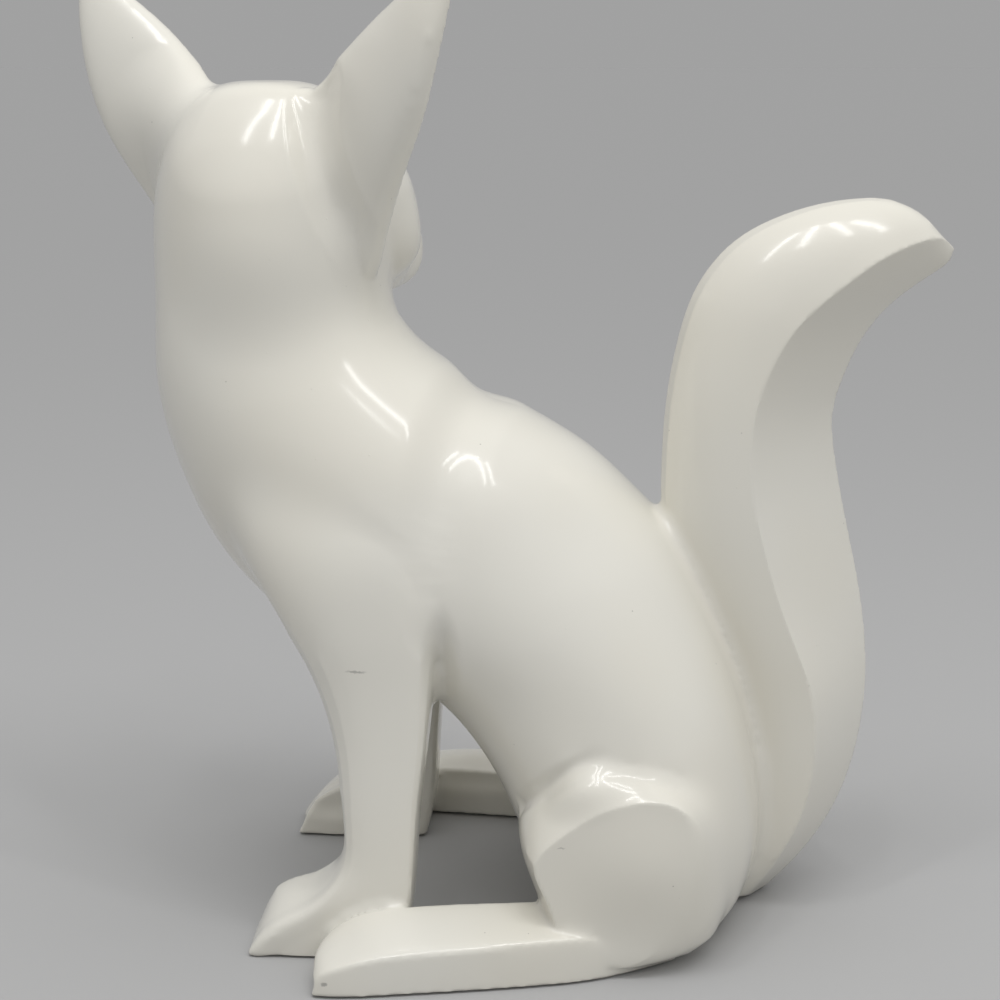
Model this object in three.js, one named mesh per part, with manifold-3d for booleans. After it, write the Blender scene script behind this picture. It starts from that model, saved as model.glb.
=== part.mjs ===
// A seated fox ornament in gloss white resin, its head turned back over its right shoulder.
// Nine castings are bonded into sockets on steel dowels, and the feet stand on thin pads.
// It faces -X, its own left side is -Y, and +Z is up. All sizes are in millimetres.
import * as THREE from "three";
import { mergeVertices } from "three/addons/utils/BufferGeometryUtils.js";
import Module from "manifold-3d";

const wasm = await Module();
wasm.setup();

// Clearances
const bondGap = 0.3; // adhesive line between a casting and its socket
const dowelGap = 0.3; // round a dowel in its bore
const dowelEndGap = 0.5; // past each end of a dowel
const padGap = 0.3; // round a pad and above it in its recess
const plugGap = 0.3; // round the plug

// Standing height: the pads lift the soles off the floor
const padThickness = 1.2;
const padRecess = 0.6;
const soleZ = padThickness - padRecess + padGap;
const soleTrim = 2; // the feet run on below the soles by this much, and are cut flat
const trimZ = soleZ - soleTrim;

// Neck joint, a level cut through the neck
const neckZ = 208;
const neckFrontX = -116.5;
const neckBackX = -36.5;
const neckHalf = 37;
const neckX = (neckFrontX + neckBackX) / 2;
const headX = neckX + 2; // the head turns about a line just behind the middle of the neck
const headTurn = THREE.MathUtils.degToRad(120); // from straight ahead towards its own right

// The neck rises from the breast in front and from the withers behind
const breastZ = 150;
const withersZ = 171;
const upBreast = (share) => THREE.MathUtils.lerp(breastZ, neckZ, share);
const upWithers = (share) => THREE.MathUtils.lerp(withersZ, neckZ, share);

// Seats of the limbs, measured out from the middle plane
const foreSeat = 34;
const hindSeat = 46;
const haunchFace = 75; // the flat outer facet of the haunch

// Tip of the tail, how far back it reaches and how high
const tailReach = 150;
const tailRise = 227.5;
const atTip = (x, z) => [tailReach + x, tailRise + z];

// Stance of the feet, also measured out from the middle plane: each toe lies beside its fore paw
const pawOut = 51.6;
const pawHalf = 12.2;
const toeHalf = 13.4;
const toeClearance = 1.5;
const toeOut = pawOut + pawHalf + toeClearance + toeHalf;
const heelOut = 65.5;

// Dowels: the depth is how far each end goes into its casting
const neckDowelDiameter = 10;
const neckDowelDepth = 22;
const limbDowelDiameter = 8;
const limbDowelDepth = 12;
const earPinDiameter = 4;
const earPinDepth = 10;
const foreDowel = { x: -50, z: 122 };
const hindDowels = { front: { x: 26, z: 38 }, rear: { x: 56, z: 36 } };
const tailDowels = { lower: 44, upper: 94 }; // heights

// Hollow in the torso, and the plug that closes the hole it was poured through
const coreWall = 6;
const chestCoreHalfWidth = foreSeat - limbDowelDepth - coreWall;
const rumpCoreHalfWidth = hindSeat - limbDowelDepth - coreWall;
const plugX = 42;
const plugDiameter = 24;
const plugLength = 12;
const plugLip = 4.5; // how far the flange stands out round the spigot
const plugFlange = 2.4;

// Pads under the feet: x along the foot, and out from the middle plane
const padDiameter = 17;
const pads = {
  fore: { x: -62, out: pawOut },
  hind: { x: -36, out: toeOut - 1 },
  heel: { x: 34, out: heelOut },
};

// Rim of the ears, how full their backs are and where along the ear its pin points. The eyes are shallow
// almond hollows in the face.
const earRim = 3;
const earFullness = 0.8;
const earPinAim = 0.35;
const eye = { length: 17, height: 8, depth: 3 };

// Steps along each form and sides round it, and sides round a rod
const fineness = {
  torso: { steps: 28, sides: 32 },
  core: { steps: 10, sides: 20 },
  foreleg: { steps: 30, sides: 20 },
  foot: { steps: 18, sides: 20 },
  haunch: { steps: 8, sides: 32 },
  tail: { steps: 34, sides: 20 },
  face: { steps: 16, sides: 28 },
  nape: { steps: 12, sides: 28 },
  ear: { steps: 15, sides: 20 },
  eye: { steps: 10, sides: 16 },
};
const rodSides = 24;

// Each station of a form is a cross-section between a front point and a back point, both [x, z] in side view.
// half is its half-width, out its centre's distance from the middle plane, square how boxy the front and the
// back of the section are, where 2 is an oval, and tilt the outward fall of its front.
const torsoStations = [
  { front: [neckFrontX, neckZ], back: [neckBackX, neckZ], half: neckHalf },
  { front: [neckFrontX - 0.5, upBreast(0.69)], back: [neckBackX + 9.5, upWithers(0.66)], half: neckHalf + 3 },
  { front: [neckFrontX + 2, upBreast(0.36)], back: [neckBackX + 29, upWithers(0.31)], half: neckHalf + 9 },
  { front: [-108, breastZ], back: [12.5, withersZ], half: 52 },
  { front: [-97, 127], back: [31.5, 159.5], half: 56 },
  { front: [-77, 105], back: [47, 145], half: 58 },
  { front: [-51, 90], back: [60.5, 130.5], half: 60 },
  { front: [-24, 76.5], back: [72, 109.5], half: 62, square: [2.1, 2.1] },
  { front: [-5, 57], back: [82, 84], half: 65, square: [2.6, 2.4] },
  { front: [5.5, 36.5], back: [88.5, 57], half: 67, square: [2.8, 2.6] },
  { front: [13.5, 18], back: [91, 33], half: 66, square: [2.8, 2.6] },
  { front: [22, 6], back: [87.5, 14], half: 62, square: [2.6, 2.4] },
  { front: [28, soleZ], back: [82, soleZ], half: 55 },
];
const coreStations = [
  { front: [-70, 171], back: [-32, 174], half: 8 },
  { front: [-92, 152], back: [-10, 162], half: chestCoreHalfWidth },
  { front: [-82, 131], back: [10, 149], half: chestCoreHalfWidth },
  { front: [-57, 111], back: [28, 134], half: chestCoreHalfWidth },
  { front: [-31, 97], back: [39, 117], half: chestCoreHalfWidth },
  { front: [-7, 79], back: [47, 97], half: rumpCoreHalfWidth },
  { front: [7, 56], back: [54, 74], half: rumpCoreHalfWidth },
  { front: [17, 36], back: [57, 46], half: rumpCoreHalfWidth },
  { front: [plugX - plugDiameter / 2, 20], back: [plugX + plugDiameter / 2, 24], half: 22 },
];
const forelegStations = [
  { front: [-78, 164], back: [-24, 166], out: 33, half: 5, square: [2, 2] },
  { front: [-86, 154], back: [-12, 158], out: 35, half: 12, square: [2, 2.2] },
  { front: [-87, 140], back: [-8, 145], out: 37, half: 19, square: [2, 2.4] },
  { front: [-80, 124], back: [-11, 128], out: 38.5, half: 21.8, square: [2, 2.8] },
  { front: [-68.3, 107], back: [-16, 111], out: 40.5, half: 20.8, square: [2.2, 3.6] },
  { front: [-58.3, 90], back: [-19, 92], out: 44, half: 17, square: [2.4, 4.5] },
  { front: [-52, 70], back: [-21, 72], out: 47.5, half: 14, square: [2.6, 5] },
  { front: [-50, 50], back: [-23.5, 52], out: 50, half: 12.6, square: [2.8, 5] },
  { front: [-49.3, 34], back: [-25, 32], out: pawOut - 0.4, half: pawHalf, square: [3, 6], tilt: 0.05 },
  { front: [-53.5, 25.5], back: [-26.5, 14], out: pawOut, half: pawHalf, square: [5, 7], tilt: 0.16 },
  { front: [-61, 19.2], back: [-31, trimZ], out: pawOut, half: pawHalf, square: [8, 8], tilt: 0.22 },
  { front: [-67.5, 16.6], back: [-44, trimZ], out: pawOut, half: pawHalf, square: [8, 8], tilt: 0.28 },
  { front: [-73.2, 13.4], back: [-58, trimZ], out: pawOut, half: pawHalf, square: [8, 8], tilt: 0.3 },
  { front: [-77.8, 7], back: [-69, trimZ], out: pawOut, half: pawHalf - 0.5, square: [7, 8], tilt: 0.15 },
  { front: [-81.2, trimZ + 0.5], back: [-78, trimZ], out: pawOut, half: pawHalf - 1, square: [6, 6] },
];
const footStations = [
  { front: [60, 5], back: [60, trimZ], out: 55, half: 6, square: [4, 4] },
  { front: [48, 11.5], back: [48, trimZ], out: 60.5, half: 8.5, square: [5, 5], tilt: 0.08 },
  { front: [36, 16.5], back: [36, trimZ], out: heelOut, half: 10, square: [7, 7], tilt: 0.16 },
  { front: [24, 18.2], back: [24, trimZ], out: 68.7, half: 10.8, square: [9, 9], tilt: 0.22 },
  { front: [-2, 18.2], back: [-2, trimZ], out: 73, half: 12, square: [9, 9], tilt: 0.23 },
  { front: [-27, 17.6], back: [-27, trimZ], out: toeOut - 2, half: 12.6, square: [9, 9], tilt: 0.23 },
  { front: [-40, 16], back: [-39.5, trimZ], out: toeOut - 0.7, half: toeHalf, square: [9, 9], tilt: 0.22 },
  { front: [-49.5, 12.4], back: [-48.5, trimZ], out: toeOut, half: toeHalf, square: [8, 8], tilt: 0.17 },
  { front: [-54, 7.4], back: [-53, trimZ], out: toeOut, half: toeHalf - 0.4, square: [6, 6], tilt: 0.08 },
  { front: [-56, trimZ + 0.5], back: [-55.5, trimZ], out: toeOut, half: toeHalf - 1, square: [5, 5] },
];

// The haunch runs from a wide root at the seat to its flat facet. Both outlines are [x, z], from the knee
// over the top and round. roll is 0 where the facet has a crisp edge and 1 where it rolls into the rump.
const haunchStations = [
  { root: [8, 43], facet: [14, 39], roll: 0 },
  { root: [12, 56], facet: [23, 49], roll: 0 },
  { root: [33, 72.5], facet: [40, 59], roll: 0 },
  { root: [56, 66], facet: [57, 60.5], roll: 0.15 },
  { root: [73, 52], facet: [66, 52], roll: 0.7 },
  { root: [79, 31], facet: [63, 33], roll: 1 },
  { root: [73.5, 6], facet: [52, 14], roll: 1 },
  { root: [48, 0], facet: [40, 5], roll: 1 },
  { root: [22, 8], facet: [26, 9], roll: 0.2 },
  { root: [12, 27], facet: [18.5, 26], roll: 0 },
];
const haunchCrispness = 2.2; // how late the haunch turns in towards a crisp edge

// The tail's ridge is where its rounded front meets its flat back faces, as a share of the section's depth.
const tailStations = [
  { front: [72, soleZ], back: [95, soleZ], half: 14, ridge: 0.55 },
  { front: [77, 16], back: [107, 14], half: 18, ridge: 0.58 },
  { front: [80, 36], back: [118.5, 33], half: 21, ridge: 0.62 },
  { front: [78, 62], back: [125.5, 58], half: 23, ridge: 0.63 },
  { front: [70, 90], back: [127, 84], half: 24, ridge: 0.59 },
  { front: [60, 114], back: [124, 109], half: 24, ridge: 0.53 },
  { front: [55.3, 136], back: [118.3, 134], half: 24, ridge: 0.51 },
  { front: [55, 155], back: [113.5, 157], half: 23.5, ridge: 0.49 },
  { front: [56, 175], back: [112, 172], half: 23, ridge: 0.5 },
  { front: [59.2, 195], back: [115.5, 185], half: 22.5, ridge: 0.53 },
  { front: [65.3, 214.5], back: [121, 197.5], half: 22, ridge: 0.58 },
  { front: [78, 230.3], back: [129, 208], half: 20.5, ridge: 0.64 },
  { front: atTip(-52.5, 12.4), back: atTip(-12.5, -12.5), half: 17.5, ridge: 0.62 },
  { front: atTip(-34, 16.2), back: atTip(-6, -8), half: 13, ridge: 0.6 },
  { front: atTip(-20.5, 15.9), back: atTip(-2, -5), half: 9, ridge: 0.58 },
  { front: atTip(-11, 11.5), back: atTip(-0.5, -2.5), half: 5, ridge: 0.55 },
  { front: atTip(-4, 4), back: atTip(0, 0), half: 1.5, ridge: 0.5 },
];

// The back of the head carries the neck straight up to the crown. rise is above the joint, inset is how far
// the front and the back have drawn in by then, and narrowing how far each side has.
const napeStations = [
  { rise: bondGap, inset: 0, narrowing: 0 },
  { rise: 18, inset: 0.5, narrowing: 0 },
  { rise: 36, inset: 1.5, narrowing: 0 },
  { rise: 52, inset: 5.5, narrowing: 1 },
  { rise: 63, inset: 11.5, narrowing: 5 },
  { rise: 70.5, inset: 19.5, narrowing: 13 },
  { rise: 73.5, inset: 29.5, narrowing: 25 },
];

// The face and the ears are set out from the middle of the neck joint, with the head facing -X: [x, z] again.
const faceStations = [
  { front: [12, 70], back: [12, 4], half: 30, square: [2, 2] },
  { front: [-8, 71], back: [-8, 2], half: 36.5, square: [2, 2.4] },
  { front: [-26, 64], back: [-26, 1.5], half: 37, square: [2, 2.6] },
  { front: [-38, 54], back: [-38, 1.5], half: 31, square: [2.2, 2.6] },
  { front: [-50, 43], back: [-50, -1.5], half: 21.5, square: [2.4, 2.6] },
  { front: [-61, 33.5], back: [-61, -1.5], half: 14, square: [2.6, 2.6] },
  { front: [-70, 27], back: [-70, -0.5], half: 10, square: [2.6, 2.6] },
  { front: [-76, 22.5], back: [-76, 2], half: 7.5, square: [2.4, 2.4] },
  { front: [-79.5, 18.5], back: [-79.5, 6], half: 4.2, square: [2, 2] },
];

// The middle of the right eye, which way it looks and which way its outer corner lies: [x, out, z].
const eyePlace = { middle: [-42, 19, 43], outwards: [-0.55, 0.55, 0.63], corner: [0.75, 0.45, 0.26] };

// Ear: inner and outer edge points are [x, out, z], bulge is the swell of its back, hollow that of its front.
const earStations = [
  { inner: [6, 9, 58], outer: [-6, 27, 2], bulge: 12, hollow: -4 },
  { inner: [5.5, 20.5, 71], outer: [-3, 37, 9], bulge: 12, hollow: -2 },
  { inner: [3, 31, 80.5], outer: [1, 46, 27], bulge: 11.5, hollow: 3 },
  { inner: [2, 42.5, 90], outer: [8, 57, 45], bulge: 10, hollow: 4 },
  { inner: [3, 54.4, 98.5], outer: [11, 66.5, 62], bulge: 8, hollow: 3.5 },
  { inner: [4.5, 63.5, 104.5], outer: [11, 72.5, 82], bulge: 5.8, hollow: 2.5 },
  { inner: [6, 71, 109], outer: [9, 75.5, 99], bulge: 3.5, hollow: 1 },
  { inner: [7, 75, 112], outer: [7.4, 76, 109.6], bulge: 1.6, hollow: 0 },
];

const lacquerWhite = { color: 0xefece4, roughness: 0.16, metalness: 0 };
const dowelSteel = { color: 0x8d9094, roughness: 0.4, metalness: 1 };
const plugResin = { color: 0xd9d4c8, roughness: 0.5, metalness: 0 };
const padFelt = { color: 0xb9b4aa, roughness: 0.95, metalness: 0 };

// Solids and cuts

function toSolid(geometry) {
  const plain = geometry.clone();
  plain.deleteAttribute("normal");
  plain.deleteAttribute("uv");
  const merged = mergeVertices(plain, 1e-4);
  const mesh = new wasm.Mesh({
    numProp: 3,
    vertProperties: new Float32Array(merged.attributes.position.array),
    triVerts: new Uint32Array(merged.index.array),
  });
  return new wasm.Manifold(mesh);
}

function toGeometry(solid) {
  const mesh = solid.getMesh();
  const geometry = new THREE.BufferGeometry();
  geometry.setAttribute("position", new THREE.BufferAttribute(new Float32Array(mesh.vertProperties), 3));
  geometry.setIndex(Array.from(mesh.triVerts));
  return geometry;
}

// The same solid with its surface moved outwards, to cut the socket that it is bonded into. A corner moves
// further than a flat place does, so that every face beside it moves by the whole gap, but a knife edge moves
// by no more than the gap divided by leastFlatness.
function grown(solid, gap, leastFlatness = 0.5) {
  const geometry = toGeometry(solid);
  geometry.computeVertexNormals();
  const { position, normal } = geometry.attributes;
  const corners = Array.from(geometry.index.array);
  const point = (attribute, i) => new THREE.Vector3().fromBufferAttribute(attribute, i);
  const flatness = new Array(position.count).fill(1);
  for (let i = 0; i < corners.length; i += 3) {
    const face = corners.slice(i, i + 3);
    const facing = new THREE.Triangle(...face.map((k) => point(position, k))).getNormal(new THREE.Vector3());
    face.forEach((k) => {
      flatness[k] = Math.min(flatness[k], facing.dot(point(normal, k)));
    });
  }
  flatness.forEach((flat, k) => {
    const moved = point(position, k).addScaledVector(point(normal, k), gap / Math.max(flat, leastFlatness));
    position.setXYZ(k, moved.x, moved.y, moved.z);
  });
  return toSolid(geometry);
}

function cutAll(solid, cutters) {
  return cutters.reduce((rest, cutter) => rest.subtract(cutter), solid);
}

function block(low, high) {
  const size = new THREE.Vector3().subVectors(high, low);
  const geometry = new THREE.BoxGeometry(size.x, size.y, size.z);
  geometry.translate((low.x + high.x) / 2, (low.y + high.y) / 2, (low.z + high.z) / 2);
  return toSolid(geometry);
}

const far = 2 * neckZ; // past every part of the figure
const belowSole = block(new THREE.Vector3(-far, -far, -far), new THREE.Vector3(far, far, soleZ));

// Everything nearer the middle plane than a seat on the right-hand side.
function insideSeat(seat) {
  return block(new THREE.Vector3(-far, -far, -far), new THREE.Vector3(far, seat, far));
}

function rodGeometry(middle, direction, diameter, length) {
  const geometry = new THREE.CylinderGeometry(diameter / 2, diameter / 2, length, rodSides);
  const turn = new THREE.Quaternion().setFromUnitVectors(new THREE.Vector3(0, 1, 0), direction);
  geometry.applyQuaternion(turn);
  geometry.translate(middle.x, middle.y, middle.z);
  return geometry;
}

// Lofted forms

function smoothRun(points) {
  const curve = new THREE.CatmullRomCurve3(points, false, "centripetal");
  return (t) => curve.getPoint(t);
}

function facingOut(positions, index) {
  let volume = 0;
  for (let i = 0; i < index.length; i += 3) {
    const [a, b, c] = [positions[index[i]], positions[index[i + 1]], positions[index[i + 2]]];
    volume += a.dot(new THREE.Vector3().crossVectors(b, c));
  }
  return volume > 0 ? index : index.reverse();
}

// A closed skin over the cross-sections ring(0) to ring(1), each a list of points.
function skin(ring, steps) {
  const rings = Array.from({ length: steps + 1 }, (_, i) => ring(i / steps));
  const sides = rings[0].length;
  const positions = rings.flat();
  const index = [];
  for (let i = 0; i < steps; i += 1) {
    for (let j = 0; j < sides; j += 1) {
      const a = i * sides + j;
      const b = i * sides + ((j + 1) % sides);
      index.push(a, b, b + sides, a, b + sides, a + sides);
    }
  }
  for (const [first, points, flip] of [[0, rings[0], 1], [steps * sides, rings[steps], 0]]) {
    const hub = new THREE.Vector3();
    points.forEach((point) => hub.addScaledVector(point, 1 / sides));
    positions.push(hub);
    for (let j = 0; j < sides; j += 1) {
      const pair = [first + j, first + ((j + 1) % sides)];
      index.push(positions.length - 1, pair[flip], pair[1 - flip]);
    }
  }
  const geometry = new THREE.BufferGeometry().setFromPoints(positions);
  geometry.setIndex(facingOut(positions, index));
  return geometry;
}

const eased = (value, square) => Math.sign(value) * Math.abs(value) ** (2 / square);

// Oval or boxy sections between a front line and a back line.
function ovalForm(stations, { steps, sides }) {
  const front = smoothRun(stations.map((s) => new THREE.Vector3(s.front[0], s.out ?? 0, s.front[1])));
  const back = smoothRun(stations.map((s) => new THREE.Vector3(s.back[0], s.out ?? 0, s.back[1])));
  const shape = smoothRun(stations.map((s) => new THREE.Vector3(s.half, ...(s.square ?? [2, 2]))));
  const tilt = smoothRun(stations.map((s) => new THREE.Vector3(s.tilt ?? 0, 0, 0)));
  const ring = (t) => {
    const { x: half, y: frontSquare, z: backSquare } = shape(t);
    return Array.from({ length: sides }, (_, j) => {
      const angle = (2 * Math.PI * j) / sides;
      const square = Math.cos(angle) > 0 ? frontSquare : backSquare;
      const frontness = (1 + eased(Math.cos(angle), square)) / 2;
      const across = half * eased(Math.sin(angle), square);
      const point = back(t).lerp(front(t), frontness);
      point.y += across;
      point.z -= across * tilt(t).x * frontness;
      return point;
    });
  };
  return skin(ring, steps);
}

// Sections with a rounded front and two flat back faces that meet it at a ridge on each side.
function ridgedForm(stations, { steps, sides }) {
  const front = smoothRun(stations.map((s) => new THREE.Vector3(s.front[0], 0, s.front[1])));
  const back = smoothRun(stations.map((s) => new THREE.Vector3(s.back[0], 0, s.back[1])));
  const shape = smoothRun(stations.map((s) => new THREE.Vector3(s.half, s.ridge, 0)));
  const quarter = sides / 4;
  const ring = (t) => {
    const { x: half, y: ridge } = shape(t);
    return Array.from({ length: sides }, (_, j) => {
      const side = j <= sides / 2 ? 1 : -1;
      const step = side > 0 ? j : sides - j;
      const angle = (Math.PI / 2) * (step / quarter);
      const flat = (step - quarter) / quarter;
      const rounded = step <= quarter;
      const depth = rounded ? ridge * (1 - Math.cos(angle)) : ridge + (1 - ridge) * flat;
      const across = rounded ? half * Math.sin(angle) : half * (1 - flat);
      const point = front(t).lerp(back(t), depth);
      point.y += side * across;
      return point;
    });
  };
  return skin(ring, steps);
}

// The haunch: its root outline eases into the facet's outline on the way out.
function haunchForm({ steps, sides }) {
  const closedRun = (points) => {
    const curve = new THREE.CatmullRomCurve3(points, true, "centripetal");
    return (j) => curve.getPoint(j / sides);
  };
  const root = closedRun(haunchStations.map((s) => new THREE.Vector3(s.root[0], 0, s.root[1])));
  const facet = closedRun(haunchStations.map((s) => new THREE.Vector3(s.facet[0], 0, s.facet[1])));
  const roll = closedRun(haunchStations.map((s) => new THREE.Vector3(s.roll, 0, 0)));
  const ring = (t) =>
    Array.from({ length: sides }, (_, j) => {
      const reach = Math.sin((Math.PI / 2) * t);
      const crisp = reach ** haunchCrispness;
      const rolled = 1 - Math.cos((Math.PI / 2) * t);
      const point = root(j).lerp(facet(j), THREE.MathUtils.lerp(crisp, rolled, roll(j).x));
      point.y = hindSeat + (haunchFace - hindSeat) * reach;
      return point;
    });
  return skin(ring, steps);
}

// The ear: a leaf between two edges, swelling behind and hollowed in front, with a blunt rim.
function earLines() {
  const place = ([x, out, z]) => new THREE.Vector3(x, out, z);
  const inner = smoothRun(earStations.map((s) => place(s.inner)));
  const outer = smoothRun(earStations.map((s) => place(s.outer)));
  const swell = smoothRun(earStations.map((s) => new THREE.Vector3(s.bulge, s.hollow, 0)));
  const axis = inner(1).sub(inner(0).lerp(outer(0), 0.5));
  const behind = (t) => new THREE.Vector3().subVectors(outer(t), inner(t)).cross(axis).normalize();
  const middle = (t) => inner(t).lerp(outer(t), 0.5).addScaledVector(behind(t), swell(t).x / 2);
  return { inner, outer, swell, behind, middle };
}

function earForm({ steps, sides }) {
  const { inner, outer, swell, behind } = earLines();
  const ring = (t) => {
    const { x: bulge, y: hollow } = swell(t);
    const rim = Math.min(earRim, bulge) / 2;
    return Array.from({ length: sides }, (_, j) => {
      const rear = j <= sides / 2;
      const share = rear ? j / (sides / 2) : (sides - j - 0.5) / (sides / 2 - 1);
      const swelling = Math.sin(Math.PI * share);
      const height = rear ? rim + (bulge - rim) * swelling ** earFullness : hollow * swelling - rim;
      const point = inner(t).lerp(outer(t), (1 - Math.cos(Math.PI * share)) / 2);
      return point.addScaledVector(behind(t), height);
    });
  };
  return skin(ring, steps);
}

function mirrored(geometry) {
  const copy = geometry.clone().scale(1, -1, 1);
  copy.setIndex(Array.from(copy.index.array).reverse());
  return copy;
}

const headPlace = new THREE.Matrix4().makeRotationZ(-headTurn).setPosition(headX, 0, neckZ);
const sides = [
  { name: "left", place: mirrored, sign: -1 },
  { name: "right", place: (geometry) => geometry.clone(), sign: 1 },
];

// The assembly

const figurine = new THREE.Group();
const castings = {};
const torsoSockets = [];

function addMesh(name, geometry, finish) {
  const mesh = new THREE.Mesh(geometry, new THREE.MeshStandardMaterial(finish));
  mesh.name = name;
  figurine.add(mesh);
}

// A steel dowel, and the bore it takes in every casting named.
function addDowel(name, middle, direction, diameter, depth, bored) {
  addMesh(name, rodGeometry(middle, direction, diameter, 2 * depth), dowelSteel);
  const boreDiameter = diameter + 2 * dowelGap;
  const bore = toSolid(rodGeometry(middle, direction, boreDiameter, 2 * (depth + dowelEndGap)));
  bored.forEach((casting) => {
    castings[casting] = castings[casting].subtract(bore);
  });
}

// A pad under a foot, and its recess in the sole.
function addPad(name, x, y, casting) {
  const up = new THREE.Vector3(0, 0, 1);
  const disc = rodGeometry(new THREE.Vector3(x, y, padThickness / 2), up, padDiameter, padThickness);
  addMesh(name, disc, padFelt);
  const top = soleZ + padRecess;
  const recess = rodGeometry(new THREE.Vector3(x, y, top / 2), up, padDiameter + 2 * padGap, top);
  castings[casting] = castings[casting].subtract(toSolid(recess));
}

// A limb cut off at its seat and at the sole, and the socket that takes it.
function seated(form, seat) {
  return {
    casting: cutAll(form, [belowSole, insideSeat(seat)]),
    socket: grown(form, bondGap).subtract(insideSeat(seat - bondGap)),
  };
}

function makeLimbs() {
  const foot = toSolid(ovalForm(footStations, fineness.foot));
  const haunch = toSolid(haunchForm(fineness.haunch));
  const limbs = {
    foreleg: seated(toSolid(ovalForm(forelegStations, fineness.foreleg)), foreSeat),
    hind_leg: seated(haunch.add(foot), hindSeat),
  };
  for (const side of sides) {
    for (const [limb, { casting, socket }] of Object.entries(limbs)) {
      castings[`${side.name}_${limb}`] = toSolid(side.place(toGeometry(casting)));
      torsoSockets.push(toSolid(side.place(toGeometry(socket))));
    }
  }
  const tail = toSolid(ridgedForm(tailStations, fineness.tail));
  castings.tail = tail.subtract(belowSole);
  torsoSockets.push(grown(tail, bondGap));
}

function makeTorso() {
  const core = toSolid(ovalForm(coreStations, fineness.core));
  const body = toSolid(ovalForm(torsoStations, fineness.torso));
  castings.torso = cutAll(body, [core, ...torsoSockets]);
}

function eyeForm() {
  const outwards = new THREE.Vector3(...eyePlace.outwards).normalize();
  const across = new THREE.Vector3(...eyePlace.corner).cross(outwards).normalize();
  const along = new THREE.Vector3().crossVectors(across, outwards);
  const place = new THREE.Matrix4().makeBasis(along, across, outwards).setPosition(...eyePlace.middle);
  const ball = new THREE.SphereGeometry(1, fineness.eye.sides, fineness.eye.steps);
  return ball.scale(eye.length / 2, eye.height / 2, eye.depth).applyMatrix4(place);
}

function makeHead() {
  const ear = earForm(fineness.ear);
  const face = toSolid(ovalForm(faceStations, fineness.face).applyMatrix4(headPlace));
  const napeSections = napeStations.map(({ rise, inset, narrowing }) => ({
    front: [neckFrontX + inset, neckZ + rise],
    back: [neckBackX - inset, neckZ + rise],
    half: neckHalf - narrowing,
  }));
  castings.head = toSolid(ovalForm(napeSections, fineness.nape)).add(face);
  for (const side of sides) {
    const name = `${side.name}_ear`;
    castings[name] = toSolid(side.place(ear).applyMatrix4(headPlace));
    const eyeHollow = toSolid(side.place(eyeForm()).applyMatrix4(headPlace));
    castings.head = cutAll(castings.head, [grown(castings[name], bondGap), eyeHollow]);
  }
}

function addDowels() {
  const upright = new THREE.Vector3(0, 0, 1);
  const neckMiddle = new THREE.Vector3(neckX, 0, neckZ + bondGap / 2);
  addDowel("neck_dowel", neckMiddle, upright, neckDowelDiameter, neckDowelDepth, ["torso", "head"]);
  const ear = earLines();
  const root = ear.middle(0);
  const along = ear.middle(earPinAim).sub(root).normalize();
  const outward = new THREE.Vector3(0, 1, 0);
  for (const { name, sign } of sides) {
    const flip = new THREE.Vector3(1, sign, 1);
    const earRoot = root.clone().multiply(flip).applyMatrix4(headPlace);
    const earAlong = along.clone().multiply(flip).transformDirection(headPlace);
    addDowel(`${name}_ear_pin`, earRoot, earAlong, earPinDiameter, earPinDepth, [`${name}_ear`, "head"]);
    const shoulder = new THREE.Vector3(foreDowel.x, sign * (foreSeat - bondGap / 2), foreDowel.z);
    const foreBores = [`${name}_foreleg`, "torso"];
    addDowel(`${name}_foreleg_dowel`, shoulder, outward, limbDowelDiameter, limbDowelDepth, foreBores);
    for (const [end, { x, z }] of Object.entries(hindDowels)) {
      const hip = new THREE.Vector3(x, sign * (hindSeat - bondGap / 2), z);
      const hindBores = [`${name}_hind_leg`, "torso"];
      addDowel(`${name}_hind_${end}_dowel`, hip, outward, limbDowelDiameter, limbDowelDepth, hindBores);
    }
  }
  for (const [end, height] of Object.entries(tailDowels)) {
    const tailRoot = tailFrontAt(height);
    const lengthwise = new THREE.Vector3(1, 0, 0);
    const tailBores = ["torso", "tail"];
    addDowel(`tail_${end}_dowel`, tailRoot, lengthwise, limbDowelDiameter, limbDowelDepth, tailBores);
  }
}

// The point of the tail's front line at a given height.
function tailFrontAt(height) {
  const run = smoothRun(tailStations.map((s) => new THREE.Vector3(s.front[0], 0, s.front[1])));
  const tries = 400;
  const points = Array.from({ length: tries }, (_, i) => run(i / tries));
  return points.find((point) => point.z >= height);
}

function addPads() {
  for (const { name, sign } of sides) {
    for (const [place, { x, out }] of Object.entries(pads)) {
      const limb = place === "fore" ? "foreleg" : "hind_leg";
      addPad(`${name}_${place}_pad`, x, sign * out, `${name}_${limb}`);
    }
  }
}

// The plug: a flange let into the seat and a spigot up into the pour hole.
function addPlug() {
  const stepped = (gap) => {
    const spigot = plugDiameter / 2 + gap;
    const flange = plugDiameter / 2 + plugLip + gap;
    const outline = [[0, 0], [flange, 0], [flange, plugFlange + gap]];
    outline.push([spigot, plugFlange + gap], [spigot, plugLength + gap], [0, plugLength + gap]);
    const profile = outline.map(([radius, height]) => new THREE.Vector2(radius, height));
    return new THREE.LatheGeometry(profile, rodSides).rotateX(Math.PI / 2).translate(plugX, 0, soleZ);
  };
  addMesh("seat_plug", stepped(0), plugResin);
  const coreFloor = coreStations.at(-1).back[1];
  const up = new THREE.Vector3(0, 0, 1);
  const mouth = new THREE.Vector3(plugX, 0, 0);
  const pourHole = rodGeometry(mouth, up, plugDiameter + 2 * plugGap, 2 * coreFloor);
  castings.torso = cutAll(castings.torso, [toSolid(stepped(plugGap)), toSolid(pourHole)]);
}

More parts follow.
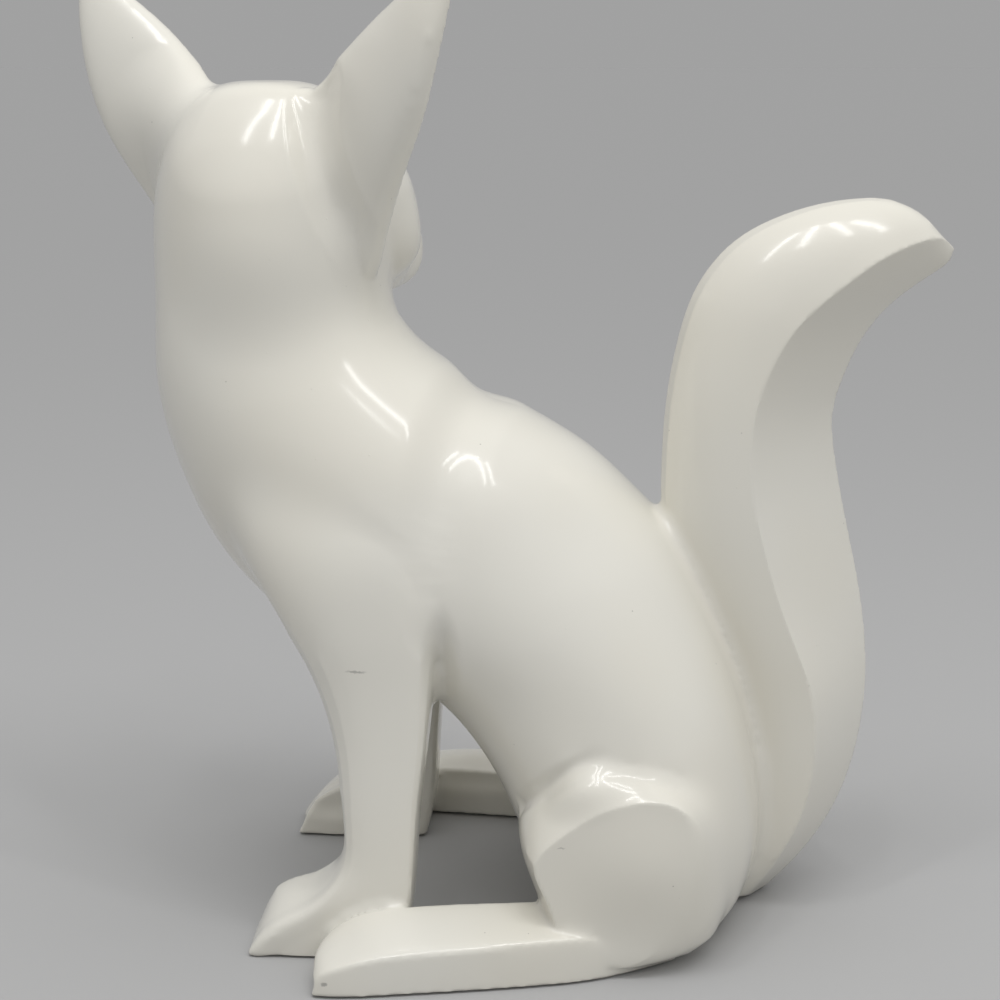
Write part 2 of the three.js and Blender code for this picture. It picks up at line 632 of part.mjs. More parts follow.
makeLimbs();
makeTorso();
makeHead();
addDowels();
addPads();
addPlug();
for (const [name, casting] of Object.entries(castings)) {
  addMesh(name, toGeometry(casting), lacquerWhite);
}

// The origin is the middle of the footprint, on the floor.
const figure = new THREE.Group();
figure.add(figurine);
const box = new THREE.Box3().setFromObject(figurine);
const middle = box.getCenter(new THREE.Vector3());
figurine.position.set(-middle.x, -middle.y, -box.min.z);
figure.updateMatrixWorld(true);

export default figure;
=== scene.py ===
# A seated fox ornament: gloss white lacquer over bonded resin castings, standing on felt pads.
import math
import bmesh
import bpy
import numpy as np
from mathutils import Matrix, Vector
from mathutils.bvhtree import BVHTree
from mathutils.geometry import interpolate_bezier
from mathutils.kdtree import KDTree


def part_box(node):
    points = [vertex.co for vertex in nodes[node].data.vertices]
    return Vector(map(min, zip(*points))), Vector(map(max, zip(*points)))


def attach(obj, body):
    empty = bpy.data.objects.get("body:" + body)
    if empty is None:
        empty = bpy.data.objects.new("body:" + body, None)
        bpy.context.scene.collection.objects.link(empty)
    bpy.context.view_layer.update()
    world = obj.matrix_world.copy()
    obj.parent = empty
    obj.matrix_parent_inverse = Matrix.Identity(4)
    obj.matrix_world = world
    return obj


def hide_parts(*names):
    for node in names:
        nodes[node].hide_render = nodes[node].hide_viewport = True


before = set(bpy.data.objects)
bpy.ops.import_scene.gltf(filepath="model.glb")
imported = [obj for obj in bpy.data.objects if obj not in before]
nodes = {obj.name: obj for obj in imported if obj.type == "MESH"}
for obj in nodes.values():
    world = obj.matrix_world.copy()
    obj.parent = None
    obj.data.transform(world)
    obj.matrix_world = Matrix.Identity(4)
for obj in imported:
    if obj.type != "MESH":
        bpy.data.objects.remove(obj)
scene = bpy.context.scene
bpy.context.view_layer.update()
print("frame loaded,", len(nodes), "nodes")

def linked(name, data):
    piece = bpy.data.objects.new(name, data)
    scene.collection.objects.link(piece)
    return piece

# A shader socket that takes part in plain arithmetic
class Wire:
    def __init__(self, tree, socket=None):
        self.tree = tree
        self.socket = socket

    def node(self, kind, settings=None, sockets=None, output=0):
        made = self.tree.nodes.new(kind)
        for name, value in (settings or {}).items():
            setattr(made, name, value)
        for name, value in (sockets or {}).items():
            feed(self.tree, made.inputs[name], value)
        return Wire(self.tree, made.outputs[output])

    def maths(self, operation, first, second):
        return self.node("ShaderNodeMath", {"operation": operation}, {0: first, 1: second})

    def __add__(self, other):
        return self.maths("ADD", self, other)

    def __radd__(self, other):
        return self.maths("ADD", other, self)

    def __sub__(self, other):
        return self.maths("SUBTRACT", self, other)

    def __rsub__(self, other):
        return self.maths("SUBTRACT", other, self)

    def __mul__(self, other):
        return self.maths("MULTIPLY", self, other)

    def __rmul__(self, other):
        return self.maths("MULTIPLY", other, self)

def feed(tree, socket, value):
    if isinstance(value, Wire):
        tree.links.new(value.socket, socket)
    else:
        socket.default_value = value

# Where the Mix node keeps its colour sockets
colourMix = dict(share=0, first=6, second=7, result=2)

def noise(place, scale, detail=2.0):
    return place.node("ShaderNodeTexNoise", sockets={"Vector": place, "Scale": scale, "Detail": detail})

def rising(value, low, high):
    ends = {"Value": value, "From Min": low, "From Max": high}
    return value.node("ShaderNodeMapRange", {"interpolation_type": "SMOOTHSTEP"}, ends)

def mixed(share, first, second):
    ends = {colourMix["share"]: share, colourMix["first"]: first, colourMix["second"]: second}
    return share.node("ShaderNodeMix", {"data_type": "RGBA"}, ends, output=colourMix["result"])

def bumped(height):
    return height.node("ShaderNodeBump", sockets={"Strength": 1.0, "Distance": 1.0, "Height": height})

def surfaced(name, sockets):
    material = bpy.data.materials.new(name)
    material.use_nodes = True
    tree = material.node_tree
    place = Wire(tree).node("ShaderNodeTexCoord", output="Object")
    for socket, value in sockets(place).items():
        feed(tree, tree.nodes["Principled BSDF"].inputs[socket], value)
    return material

# Gloss lacquer: a faint orange peel, dust nibs, pinholes and the few marks that the photograph shows
lacquer = dict(
    colour=(0.80, 0.782, 0.715, 1), warm=(0.785, 0.760, 0.68, 1), dirt=(0.30, 0.29, 0.27, 1),
    cloudScale=11.0, cloudFrom=0.35, cloudTo=0.65, specular=0.25, coat=0.8, coatRoughness=0.13,
    roughness=0.30, uneven=0.08, unevenScale=35.0, unevenDetail=3.0, dirtRoughness=0.3,
    peel=3e-6, peelScale=260.0, nib=5e-5, nibScale=95.0, nibRadius=0.00045,
    hole=6e-5, holeScale=80.0, holeRadius=0.00035, holeShift=(0.31, 0.17, 0.23), holeTint=0.55,
    ragged=0.0016, raggedScale=900.0,
)
marks = [
    dict(name="scuff", middle=(-0.046, -0.061, 0.098), reach=(0.0042, 0.0060, 0.0006), tint=0.6),
    dict(name="toeChip", middle=(-0.054, -0.092, 0.005), reach=(0.0012, 0.0030, 0.0010), tint=0.7),
    dict(name="kneeSpecks", middle=(0.020, -0.075, 0.045), reach=(0.0016, 0.0030, 0.0004), tint=0.5),
]

# The share of a spot's or mark's reach that has its full strength
core = dict(spot=0.3, mark=0.4)

def spots(place, scale, radius):
    away = place.node("ShaderNodeTexVoronoi", sockets={"Vector": place, "Scale": scale})
    return 1 - rising(away, core["spot"] * radius * scale, radius * scale)

def marked(place, mark):
    step = place.node("ShaderNodeVectorMath", {"operation": "SUBTRACT"}, {0: place, 1: mark["middle"]})
    share = place.node("ShaderNodeVectorMath", {"operation": "DIVIDE"}, {0: step, 1: mark["reach"]})
    away = place.node("ShaderNodeVectorMath", {"operation": "LENGTH"}, {0: share}, output="Value")
    return mark["tint"] * (1 - rising(away, core["mark"], 1.0))

# Shifts a place a little this way and that, so that the marks get ragged edges
def raggedPlace(place):
    widths = (lacquer["ragged"],) * 3
    halves = (lacquer["ragged"] / 2,) * 3
    grain = {"Vector": place, "Scale": lacquer["raggedScale"]}
    jitter = place.node("ShaderNodeTexNoise", sockets=grain, output="Color")
    spread = {0: jitter, 1: widths, 2: place}
    spread = place.node("ShaderNodeVectorMath", {"operation": "MULTIPLY_ADD"}, spread)
    return place.node("ShaderNodeVectorMath", {"operation": "SUBTRACT"}, {0: spread, 1: halves})

def lacquerSockets(place):
    ragged = raggedPlace(place)
    dirt = marked(ragged, marks[0])
    for mark in marks[1:]:
        dirt = dirt + marked(ragged, mark)
    shift = {0: place, 1: lacquer["holeShift"]}
    shifted = place.node("ShaderNodeVectorMath", {"operation": "ADD"}, shift)
    holes = spots(shifted, lacquer["holeScale"], lacquer["holeRadius"])
    nibs = spots(place, lacquer["nibScale"], lacquer["nibRadius"])
    cloud = rising(noise(place, lacquer["cloudScale"]), lacquer["cloudFrom"], lacquer["cloudTo"])
    tone = mixed(cloud, lacquer["colour"], lacquer["warm"])
    peel = lacquer["peel"] * noise(place, lacquer["peelScale"])
    height = peel + lacquer["nib"] * nibs - lacquer["hole"] * holes
    tinted = mixed(dirt + lacquer["holeTint"] * holes, tone, lacquer["dirt"])
    uneven = lacquer["uneven"] * noise(place, lacquer["unevenScale"], lacquer["unevenDetail"])
    return {
        "Base Color": tinted,
        "Roughness": lacquer["roughness"] + uneven + lacquer["dirtRoughness"] * dirt,
        "Coat Weight": lacquer["coat"] - lacquer["coat"] * dirt,
        "Coat Roughness": lacquer["coatRoughness"],
        "Specular IOR Level": lacquer["specular"],
        "Normal": bumped(height),
    }

steel = dict(
    colour=(0.55, 0.56, 0.58, 1), dull=(0.42, 0.43, 0.45, 1),
    grainScale=700.0, detail=3.0, roughness=0.28, uneven=0.2, relief=4e-6,
)

def steelSockets(place):
    grain = noise(place, steel["grainScale"], steel["detail"])
    return {
        "Base Color": mixed(grain, steel["colour"], steel["dull"]),
        "Metallic": 1.0,
        "Roughness": steel["roughness"] + steel["uneven"] * grain,
        "Normal": bumped(steel["relief"] * grain),
    }

resin = dict(
    colour=(0.72, 0.69, 0.62, 1), pale=(0.76, 0.735, 0.67, 1),
    cloudScale=120.0, detail=3.0, roughness=0.42, uneven=0.16, relief=2e-5, reliefScale=500.0,
)

def resinSockets(place):
    cloud = noise(place, resin["cloudScale"], resin["detail"])
    return {
        "Base Color": mixed(cloud, resin["colour"], resin["pale"]),
        "Roughness": resin["roughness"] + resin["uneven"] * cloud,
        "Normal": bumped(resin["relief"] * noise(place, resin["reliefScale"])),
    }

felt = dict(
    colour=(0.50, 0.48, 0.44, 1), deep=(0.36, 0.345, 0.315, 1),
    fibreScale=2600.0, detail=4.0, roughness=0.85, uneven=0.15, specular=0.1, relief=1.2e-4,
)

def feltSockets(place):
    fibre = noise(place, felt["fibreScale"], felt["detail"])
    return {
        "Base Color": mixed(fibre, felt["deep"], felt["colour"]),
        "Roughness": felt["roughness"] + felt["uneven"] * fibre,
        "Specular IOR Level": felt["specular"],
        "Normal": bumped(felt["relief"] * fibre),
    }

lacquerWhite = surfaced("lacquerWhite", lacquerSockets)
dowelSteel = surfaced("dowelSteel", steelSockets)
plugResin = surfaced("plugResin", resinSockets)
padFelt = surfaced("padFelt", feltSockets)
print("materials made")

# The skin: the castings are joined, filled over and rubbed down as one body, then parted at the bond lines
limbs = ["left_foreleg", "right_foreleg", "left_hind_leg", "right_hind_leg", "tail"]
castings = ["torso", "head", "left_ear", "right_ear"] + limbs
skin = dict(
    merge=1e-5, flatJoin=15, shapeJoin=60, creaseAngle=35, limbCrease=19, subdivisions=2, voxel=0.0011,
    quadCorners=4, crispAngle=16, sampling=0.0003, snap=0.0008, crispReach=0.004, blendLimit=0.1,
    rubFactor=0.5, earSwell=0.0006, capDepth=0.002,
)
rounds = dict(settle=8, polish=16, fillet=500, blend=500, seam=150, soften=12)

# How wide and how fully the lacquer fills the inside corner along each casting's bond line
fillet = {
    "head": (0.012, 1.0), "left_ear": (0.030, 1.0), "right_ear": (0.016, 1.0),
    "left_foreleg": (0.004, 0.4), "right_foreleg": (0.004, 0.4),
    "left_hind_leg": (0.003, 0.3), "right_hind_leg": (0.003, 0.3),
}

# Where the modelling runs on unbroken: the middle of each place, its reach each way and how fully.
# A place is on both sides unless it says side
blends = [
    dict(name="shoulder", middle=(-0.078, 0.046, 0.138), reach=(0.040, 0.030, 0.036), share=1),
    dict(name="throat", middle=(-0.112, 0.0, 0.206), reach=(0.024, 0.036, 0.030), share=1),
    dict(name="neckSide", middle=(-0.085, 0.036, 0.206), reach=(0.040, 0.026, 0.030), share=1),
    dict(name="earRoot", middle=(-0.107, -0.003, 0.268), reach=(0.018, 0.028, 0.024), share=1, side=True),
    dict(name="elbow", middle=(-0.0245, 0.056, 0.1125), reach=(0.008, 0.010, 0.012), share=1),
    dict(name="rump", middle=(0.073, 0.060, 0.040), reach=(0.024, 0.026, 0.038), share=1),
    dict(name="tailRoot", middle=(0.0545, 0.0, 0.133), reach=(0.010, 0.024, 0.012), share=0.15),
    dict(name="instep", middle=(-0.053, 0.052, 0.029), reach=(0.012, 0.018, 0.014), share=1, keepsLines=True),
]

# Lines modelled into the skin: each is a Bezier curve, given as its start, two handles and end, and fades
# out towards the end. A groove has a depth, a ridge has a negative one
folds = [
    dict(
        name="flankGroove", depth=0.003, reach=0.016, crisp=False, mirrored=True,
        curve=[(-0.006, 0.0, 0.182), (-0.012, 0.036, 0.184), (-0.024, 0.060, 0.160), (-0.020, 0.058, 0.112)],
    ),
    dict(
        name="haunchCrease", depth=0.0018, reach=0.004, crisp=True, mirrored=True,
        curve=[(0.006, 0.051, 0.050), (0.011, 0.061, 0.057), (0.024, 0.066, 0.071), (0.037, 0.066, 0.073)],
    ),
    dict(
        name="earCrease", depth=0.003, reach=0.010, crisp=True, mirrored=False,
        curve=[
            (-0.058, -0.023, 0.280), (-0.066, -0.030, 0.266),
            (-0.054, -0.034, 0.242), (-0.043, -0.020, 0.224),
        ],
    ),
    dict(
        name="pawEdge", depth=-0.0009, reach=0.006, crisp=True, mirrored=True,
        curve=[
            (-0.080, 0.063, 0.002), (-0.073, 0.063, 0.013),
            (-0.052, 0.063, 0.016), (-0.050, 0.062, 0.033),
        ],
    ),
]
foldLine = dict(steps=140, fade=0.35)
tailSeam = dict(depth=0.0013, reach=0.0035, rubbed=0.010, steadied=0.010, sampling=0.0005)

# Places that are a little fuller or hollower, on both sides unless they say side. An early one comes
# before the blends. The last rub is strongest at the haunch's crest, and the seat is let in over the plug
swells = [
    dict(name="haunch", middle=(0.048, 0.075, 0.038), reach=(0.030, 0.012, 0.028), push=(0, 0.0026, 0)),
    dict(
        name="haunchTop", middle=(0.028, 0.067, 0.061), reach=(0.019, 0.011, 0.014),
        push=(-0.001, 0.0028, 0.0024),
    ),
    dict(name="elbow", middle=(-0.0193, 0.053, 0.098), reach=(0.007, 0.020, 0.024), push=(0, -0.004, 0)),
    dict(
        name="toe", middle=(-0.058, -0.081, 0.013), reach=(0.012, 0.022, 0.012),
        push=(-0.0045, 0, 0.0005), side=True,
    ),
    dict(
        name="cheek", middle=(-0.033, 0.011, 0.226), reach=(0.012, 0.020, 0.020),
        push=(0.002, 0, -0.0005), side=True,
    ),
    dict(
        name="earBack", middle=(-0.024, -0.030, 0.262), reach=(0.026, 0.030, 0.050),
        push=(0, 0.005, 0), side=True,
    ),
    dict(
        name="earRoot", middle=(-0.111, 0.004, 0.268), reach=(0.028, 0.026, 0.028), push=(0.001, -0.008, 0),
        side=True, early=True,
    ),
    dict(
        name="crown", middle=(-0.082, -0.030, 0.272), reach=(0.040, 0.022, 0.030),
        push=(0, 0.006, 0), side=True,
    ),
    dict(
        name="nape", middle=(-0.080, -0.032, 0.226), reach=(0.036, 0.024, 0.036),
        push=(0, -0.004, 0), side=True,
    ),
    dict(
        name="farFootInside", middle=(-0.015, 0.0625, 0.0195), reach=(0.050, 0.014, 0.012),
        push=(0, 0.002, -0.003), side=True,
    ),
    dict(
        name="farFoot", middle=(-0.012, 0.090, 0.019), reach=(0.050, 0.030, 0.016),
        push=(0, 0, 0.0055), side=True,
    ),
    dict(
        name="farPawInside", middle=(-0.069, 0.0405, 0.015), reach=(0.020, 0.012, 0.010),
        push=(0, 0.002, -0.003), side=True,
    ),
    dict(
        name="farPaw", middle=(-0.066, 0.062, 0.018), reach=(0.018, 0.016, 0.012),
        push=(0.001, 0, 0.003), side=True,
    ),
    dict(
        name="farPawTip", middle=(-0.080, 0.050, 0.004), reach=(0.020, 0.030, 0.025),
        push=(0.003, 0, 0), side=True,
    ),
    dict(
        name="muzzle", middle=(-0.0345, 0.048, 0.220), reach=(0.012, 0.022, 0.022),
        push=(-0.0022, 0, 0.001), side=True,
    ),
]
lastRub = dict(middle=(0.027, 0.066, 0.068), reach=(0.020, 0.014, 0.014), least=0.15)
seat = dict(recess=0.0016, clearance=0.0006, below=0.004)

def numbers(mesh, name):
    flat = np.empty(len(mesh.vertices) * 3)
    mesh.vertices.foreach_get(name, flat)
    return flat.reshape(-1, 3)

def baked(piece):
    graph = bpy.context.evaluated_depsgraph_get()
    mesh = bpy.data.meshes.new_from_object(piece.evaluated_get(graph))
    old = piece.data
    piece.modifiers.clear()
    piece.data = mesh
    bpy.data.meshes.remove(old)

def separated(piece, kind):
    bpy.ops.object.select_all(action="DESELECT")
    bpy.context.view_layer.objects.active = piece
    piece.select_set(True)
    bpy.ops.object.mode_set(mode="EDIT")
    bpy.ops.mesh.select_all(action="SELECT")
    bpy.ops.mesh.separate(type=kind)
    bpy.ops.object.mode_set(mode="OBJECT")
    found = list(bpy.context.selected_objects)
    bpy.ops.object.select_all(action="DESELECT")
    return found

def refinedCopy(name):
    bm = bmesh.new()
    bm.from_mesh(nodes[name].data)
    bmesh.ops.remove_doubles(bm, verts=bm.verts, dist=skin["merge"])
    flat, shape = math.radians(skin["flatJoin"]), math.radians(skin["shapeJoin"])
    bmesh.ops.join_triangles(bm, faces=bm.faces, angle_face_threshold=flat, angle_shape_threshold=shape)
    crease = bm.edges.layers.float.new("crease_edge")
    sharp = math.radians(skin["limbCrease" if name in limbs else "creaseAngle"])
    for edge in bm.edges:
        if edge.calc_face_angle(0) > sharp:
            edge[crease] = 1
    mesh = bpy.data.meshes.new(name + "Refined")
    bm.to_mesh(mesh)
    bm.free()
    piece = linked(name + "Refined", mesh)
    surf = piece.modifiers.new("round", "SUBSURF")
    surf.levels = surf.render_levels = skin["subdivisions"]
    baked(piece)
    if name.endswith("_ear"):
        grown = numbers(piece.data, "co") + numbers(piece.data, "normal") * skin["earSwell"]
        piece.data.vertices.foreach_set("co", grown.ravel())
    return piece

def crispPoints(mesh, beside=None):
    bm = bmesh.new()
    bm.from_mesh(mesh)
    found = []
    for edge in bm.edges:
        if edge.is_manifold and edge.calc_face_angle_signed(0) > math.radians(skin["crispAngle"]):
            a, b = (v.co for v in edge.verts)
            if beside is None or beside.find_nearest(a, skin["voxel"])[0]:
                count = math.ceil((b - a).length / skin["sampling"])
                found += [a.lerp(b, k / count) for k in range(count + 1)]
    bm.free()
    return found

def treeOf(names):
    points, faces, owner = [], [], []
    for i, name in enumerate(names):
        data = nodes[name].data
        base = len(points)
        points += [v.co for v in data.vertices]
        faces += [[base + k for k in p.vertices] for p in data.polygons]
        owner += [i] * len(data.polygons)
    return BVHTree.FromPolygons(points, faces), owner

def wholeSkin():
    bm = bmesh.new()
    crisp, rim = [], []
    for name in castings + ["seat_plug"]:
        copy = refinedCopy(name)
        bm.from_mesh(copy.data)
        if name in limbs:
            crisp += crispPoints(copy.data)
        if name == "torso":
            rim += crispPoints(copy.data, treeOf(["tail"])[0])
        bpy.data.objects.remove(copy)
    mesh = bpy.data.meshes.new("wholeSkin")
    bm.to_mesh(mesh)
    bm.free()
    whole = linked("wholeSkin", mesh)
    mesh.remesh_voxel_size = skin["voxel"]
    mesh.use_remesh_preserve_volume = True
    bpy.context.view_layer.objects.active = whole
    bpy.ops.object.voxel_remesh()
    shells = sorted(separated(whole, "LOOSE"), key=lambda shell: len(shell.data.vertices))
    outer = shells.pop()
    for inner in shells:
        bpy.data.objects.remove(inner)
    return outer, crisp, rim

def nearestCasting(mesh):
    tree, owner = treeOf(castings)
    return np.array([owner[tree.find_nearest(p.center)[2]] for p in mesh.polygons])

def facePairs(mesh):
    edgeOf = np.empty(len(mesh.loops), int)
    mesh.loops.foreach_get("edge_index", edgeOf)
    faceOf = np.repeat(np.arange(len(mesh.polygons)), skin["quadCorners"])
    order = np.argsort(edgeOf, kind="stable")
    same = edgeOf[order][:-1] == edgeOf[order][1:]
    return faceOf[order][:-1][same], faceOf[order][1:][same]

# Evens out the bond lines: each face goes with most of its neighbours
def evened(owner, pairs, times=4, ownVote=1.1):
    for _ in range(times):
        votes = np.zeros((len(owner), len(castings)))
        votes[np.arange(len(owner)), owner] = ownVote
        for a, b in (pairs, pairs[::-1]):
            np.add.at(votes, (a, owner[b]), 1)
        owner = votes.argmax(1)
    return owner

def pointTree(points):
    tree = KDTree(len(points))
    for i, p in enumerate(points):
        tree.insert(p, i)
    tree.balance()
    return tree

# How far each point is from the nearest target, that target's place and its index
def nearest(points, targets):
    tree = pointTree(targets)
    found = [tree.find(p) for p in points]
    return np.array([f[2] for f in found]), np.array([f[0] for f in found]), np.array([f[1] for f in found])

def eased(x):
    x = np.clip(x, 0, 1)
    return x * x * (3 - 2 * x)

# Puts points of both sides onto one side
def folded(points):
    return np.abs(points * (0, 1, 0)) + points * (1, 0, 1)

def weighted(piece, name, weights, steps=20):
    group = piece.vertex_groups.new(name=name)
    level = np.round(weights * steps).astype(int)
    for k in range(1, steps + 1):
        group.add([int(i) for i in np.flatnonzero(level == k)], k / steps, "REPLACE")

# Rubs a piece smooth where the weights say; a fill moves the skin outward only
def rubbed(piece, times, weights, fills=False):
    before = numbers(piece.data, "co")
    normals = numbers(piece.data, "normal")
    weighted(piece, "rub", weights)
    rub = piece.modifiers.new("rub", "SMOOTH")
    rub.factor = skin["rubFactor"]
    rub.iterations = times
    rub.vertex_group = "rub"
    baked(piece)
    piece.vertex_groups.clear()
    if fills:
        step = numbers(piece.data, "co") - before
        step[(step * normals).sum(1) < 0] = 0
        piece.data.vertices.foreach_set("co", (before + step).ravel())

def filletWeights(mesh, points, owner):
    touching = np.zeros((len(points), len(castings)), bool)
    corners = np.empty(len(mesh.loops), int)
    mesh.loops.foreach_get("vertex_index", corners)
    touching[corners, np.repeat(owner, skin["quadCorners"])] = True
    shared = touching.sum(1) > 1
    weight = np.zeros(len(points))
    for name, (reach, share) in fillet.items():
        seam = points[shared & touching[:, castings.index(name)]]
        weight = np.maximum(weight, share * (1 - eased(nearest(points, seam)[0] / reach)))
    return weight

def ellipsoid(points, place):
    at = points if "side" in place else folded(points)
    away = np.linalg.norm((at - place["middle"]) / place["reach"], axis=1)
    return 1 - eased(away)

def blendWeights(points, lined):
    weight = np.zeros(len(points))
    for place in blends:
        share = place["share"] * (lined if "keepsLines" in place else 1)
        weight = np.maximum(weight, ellipsoid(points, place) * share)
    return weight

def rubDown(whole, owner, crisp):
    points = numbers(whole.data, "co")
    crisp = np.array(crisp)
    seen = nearest(crisp, points)[0] < skin["voxel"]
    crisp = crisp[seen & (blendWeights(crisp, 0) < skin["blendLimit"])]
    away, line, _ = nearest(points, crisp)
    pinned = away < skin["snap"]
    points[pinned] = line[pinned]
    whole.data.vertices.foreach_set("co", points.ravel())
    free = eased(away / skin["crispReach"])
    rubbed(whole, rounds["settle"], 1.0 - pinned)
    rubbed(whole, rounds["polish"], free)
    rubbed(whole, rounds["fillet"], filletWeights(whole.data, points, owner) * free, fills=True)
    points = numbers(whole.data, "co")
    swollen(points, [place for place in swells if "early" in place])
    whole.data.vertices.foreach_set("co", points.ravel())
    rubbed(whole, rounds["blend"], blendWeights(points, free))

def swollen(points, places):
    for place in places:
        push = np.array(place["push"])
        if "side" not in place:
            push = push * np.where(points[:, 1:2] < 0, (1, -1, 1), 1)
        points += push * ellipsoid(points, place)[:, None]

# Evens out a line of points: each goes to the middle of those near it
def steadied(line):
    line = np.unique(np.round(np.array(line) / tailSeam["sampling"]), axis=0) * tailSeam["sampling"]
    tree = pointTree(line)
    near = [[f[1] for f in tree.find_range(p, tailSeam["steadied"])] for p in line]
    return np.array([line[k].mean(0) for k in near])

def modelled(whole, rim):
    rim = steadied(rim)
    beside = nearest(numbers(whole.data, "co"), rim)[0]
    rubbed(whole, rounds["seam"], 1 - eased(beside / tailSeam["rubbed"]))
    points = numbers(whole.data, "co")
    normals = numbers(whole.data, "normal")
    sink = tailSeam["depth"] * np.clip(1 - nearest(points, rim)[0] / tailSeam["reach"], 0, 1)
    for fold in folds:
        side = folded(points) if fold["mirrored"] else points
        samples = interpolate_bezier(*(Vector(p) for p in fold["curve"]), foldLine["steps"])
        away, _, index = nearest(side, samples)
        share = np.clip(1 - away / fold["reach"], 0, 1)
        fade = eased((1 - index / len(samples)) / foldLine["fade"])
        sink += fold["depth"] * fade * (share if fold["crisp"] else eased(share))
    points -= normals * sink[:, None]
    swollen(points, [place for place in swells if "early" not in place])
    low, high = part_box("seat_plug")
    across = np.hypot(points[:, 0] - (low.x + high.x) / 2, points[:, 1])
    under = (across < (high.x - low.x) / 2 + seat["clearance"]) & (points[:, 2] < seat["below"])
    points[under, 2] += seat["recess"]
    whole.data.vertices.foreach_set("co", points.ravel())
    rubbed(whole, rounds["soften"], np.maximum(lastRub["least"], ellipsoid(points, lastRub)))

def partedSkin(whole, owner):
    mesh = whole.data
    normals = numbers(mesh, "normal").astype(np.float32)
    mesh.attributes.new("lacquerNormal", "FLOAT_VECTOR", "POINT").data.foreach_set("vector", normals.ravel())
    mesh.materials.clear()
    for name in castings:
        mesh.materials.append(bpy.data.materials.new(name))
    mesh.polygons.foreach_set("material_index", owner.astype(np.int32))
    parts = {}
    for part in separated(whole, "MATERIAL"):
        marker = part.data.materials[part.data.polygons[0].material_index]
        parts[marker.name] = part
    for name, part in parts.items():
        part.data.materials.clear()
        bpy.data.materials.remove(bpy.data.materials[name])
    return parts

# Each casting is closed behind the lacquer: its rim turns in and is capped
def closed(part):
    bm = bmesh.new()
    bm.from_mesh(part.data)
    for face in bm.faces:
        face.smooth = True
    rim = [e for e in bm.edges if e.is_boundary]
    for edge in rim:
        edge.smooth = False
    outward = bm.verts.layers.float_vector["lacquerNormal"]
    wall = bmesh.ops.extrude_edge_only(bm, edges=rim)["geom"]
    for vert in wall:
        if isinstance(vert, bmesh.types.BMVert):
            vert.co -= vert[outward].normalized() * skin["capDepth"]
    inner = [e for e in bm.edges if e.is_boundary]
    caps = bmesh.ops.holes_fill(bm, edges=inner, sides=0)["faces"]
    caps = bmesh.ops.triangulate(bm, faces=caps)["faces"]
    for face in caps + [f for f in wall if isinstance(f, bmesh.types.BMFace)]:
        face.smooth = False
    bm.to_mesh(part.data)
    bm.free()
    mesh = part.data
    held = np.empty(len(mesh.vertices) * 3, np.float32)
    mesh.attributes["lacquerNormal"].data.foreach_get("vector", held)
    held = held.reshape(-1, 3)
    normals = []
    for face in mesh.polygons:
        normals += [held[k] if face.use_smooth else face.normal for k in face.vertices]
    mesh.normals_split_custom_set(normals)
    mesh.attributes.remove(mesh.attributes["lacquerNormal"])

def camelName(node):
    first, *rest = node.split("_")
    return first + "".join(word.title() for word in rest)

whole, crisp, rim = wholeSkin()
print("skin joined,", len(whole.data.vertices), "points")
owner = evened(nearestCasting(whole.data), facePairs(whole.data))
rubDown(whole, owner, crisp)
modelled(whole, rim)
print("skin rubbed down")
for name, part in partedSkin(whole, owner).items():
    closed(part)
    part.name = camelName(name) + "Skin"
    part.data.materials.append(lacquerWhite)
    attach(part, "root")
    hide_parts(name)
    print(part.name, len(part.data.polygons), "faces")

# Felt pads: cut discs with a soft edge
pad = dict(sides=72, bevel=0.00022, bevelSteps=2, flat=1e-6)

def addPad(node):
    low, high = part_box(node)
    radius = (high.x - low.x) / 2
    bm = bmesh.new()
    bmesh.ops.create_cone(
        bm, cap_ends=True, segments=pad["sides"], radius1=radius, radius2=radius, depth=high.z - low.z,
    )
    rims = [e for e in bm.edges if abs(e.verts[0].co.z - e.verts[1].co.z) < pad["flat"]]
    bmesh.ops.bevel(
        bm, geom=rims, offset=pad["bevel"], segments=pad["bevelSteps"], affect="EDGES",
        profile=0.5, material=-1,
    )
    bmesh.ops.translate(bm, verts=bm.verts, vec=(low + high) / 2)
    mesh = bpy.data.meshes.new(camelName(node))
    bm.to_mesh(mesh)
    bm.free()
    mesh.materials.append(padFelt)
    piece = linked(camelName(node), mesh)
    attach(piece, "root")
    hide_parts(node)

for node in nodes:
    if node.endswith("_pad"):
        addPad(node)
print("pads cut")

# Dowels, pins and plug keep their CAD shape
for node, piece in nodes.items():
    if node.endswith("_dowel") or node.endswith("_pin"):
        piece.data.materials.clear()
        piece.data.materials.append(dowelSteel)
nodes["seat_plug"].data.materials.clear()
nodes["seat_plug"].data.materials.append(plugResin)

# Stage: a pale floor that runs out into an even backdrop, and a bank of soft strips overhead
stage = dict(
    floor=(0.44, 0.44, 0.44, 1), size=40.0,
    ambient=0.13, sky=1.05, skyFrom=(0.15, -0.15, 0.977), backdrop=0.358,
)
strips = dict(
    count=4, spacing=0.2, size=(0.05, 0.4), middle=(0.05, -0.3, 1.0), aim=(0.0, 0.0, 0.2), watts=0.74,
)

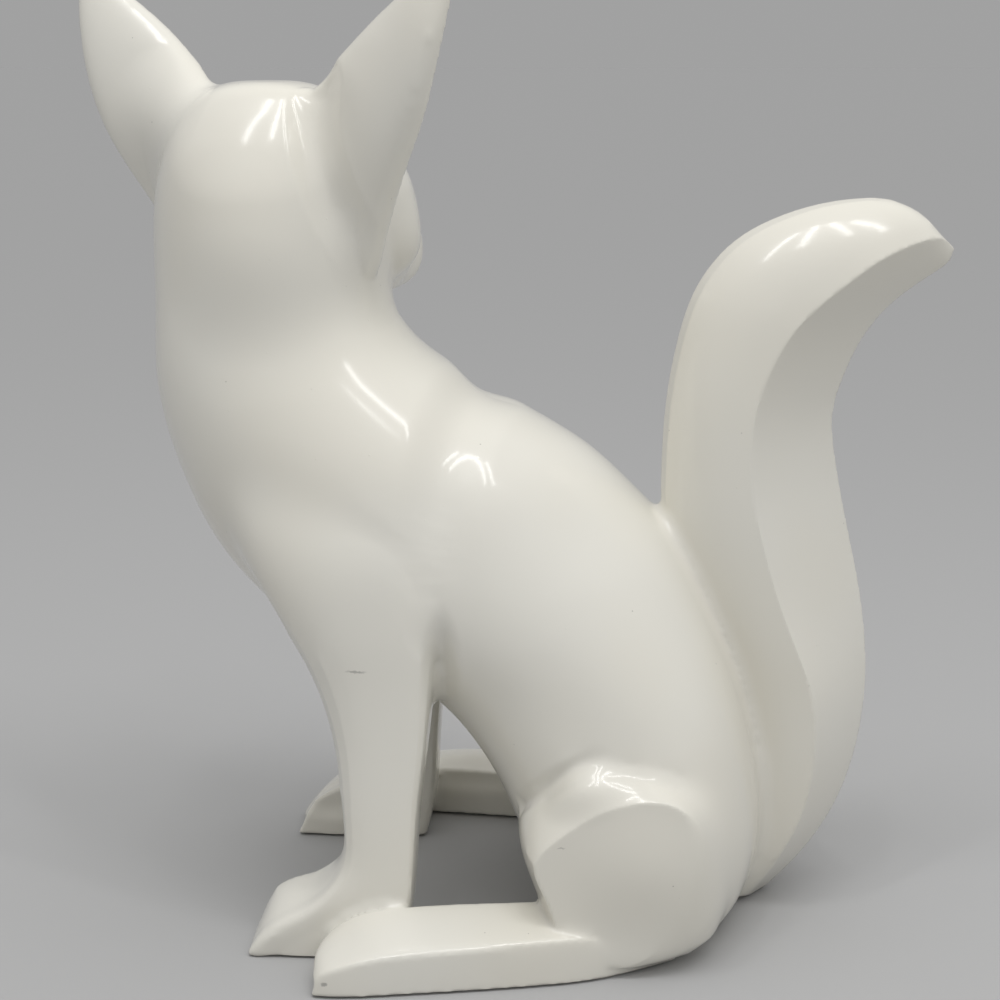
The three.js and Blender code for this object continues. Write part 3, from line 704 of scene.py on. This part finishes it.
def addLamp(name, place, aim, size, watts):
    data = bpy.data.lights.new(name, "AREA")
    data.shape = "RECTANGLE"
    data.size, data.size_y = size
    data.energy = watts
    lamp = linked(name, data)
    lamp.location = place
    lamp.rotation_euler = (Vector(aim) - Vector(place)).to_track_quat("-Z", "Y").to_euler()

def setStage():
    bm = bmesh.new()
    bmesh.ops.create_grid(bm, x_segments=1, y_segments=1, size=stage["size"] / 2)
    mesh = bpy.data.meshes.new("floor")
    bm.to_mesh(mesh)
    bm.free()
    paper = surfaced("palePaper", lambda place: {
        "Base Color": stage["floor"], "Roughness": 1.0, "Specular IOR Level": 0.0,
    })
    mesh.materials.append(paper)
    linked("floor", mesh)
    world = bpy.data.worlds.new("studio")
    world.use_nodes = True
    tree = world.node_tree
    rays = Wire(tree).node("ShaderNodeLightPath")
    shown = rays + Wire(tree, rays.socket.node.outputs["Is Glossy Ray"])
    toward = Wire(tree).node("ShaderNodeTexCoord")
    pair = {0: toward, 1: stage["skyFrom"]}
    facing = toward.node("ShaderNodeVectorMath", {"operation": "DOT_PRODUCT"}, pair, output="Value")
    light = stage["ambient"] + stage["sky"] * facing.maths("MAXIMUM", facing, 0)
    feed(tree, tree.nodes["Background"].inputs["Color"], shown * stage["backdrop"] + (1 - shown) * light)
    scene.world = world

def setLamps():
    x, y, z = strips["middle"]
    for k in range(strips["count"]):
        across = (k - (strips["count"] - 1) / 2) * strips["spacing"]
        addLamp(f"strip{k + 1}", (x + across, y, z), strips["aim"], strips["size"], strips["watts"])

# Camera, at the height and slight swing of the photograph
camera = dict(lens=72, sensor=36, distance=0.668, height=0.295, pitch=13, swing=2.5, middle=-0.0026)

def setCamera():
    data = bpy.data.cameras.new("camera")
    data.lens = camera["lens"]
    data.sensor_width = camera["sensor"]
    eye = linked("camera", data)
    swing = math.radians(camera["swing"])
    across = camera["middle"] + camera["distance"] * math.sin(swing)
    eye.location = (across, -camera["distance"] * math.cos(swing), camera["height"])
    eye.rotation_euler = (math.radians(90 - camera["pitch"]), 0, swing)
    scene.camera = eye

setStage()
setLamps()
setCamera()
scene.view_settings.view_transform = "Standard"
print("stage set")
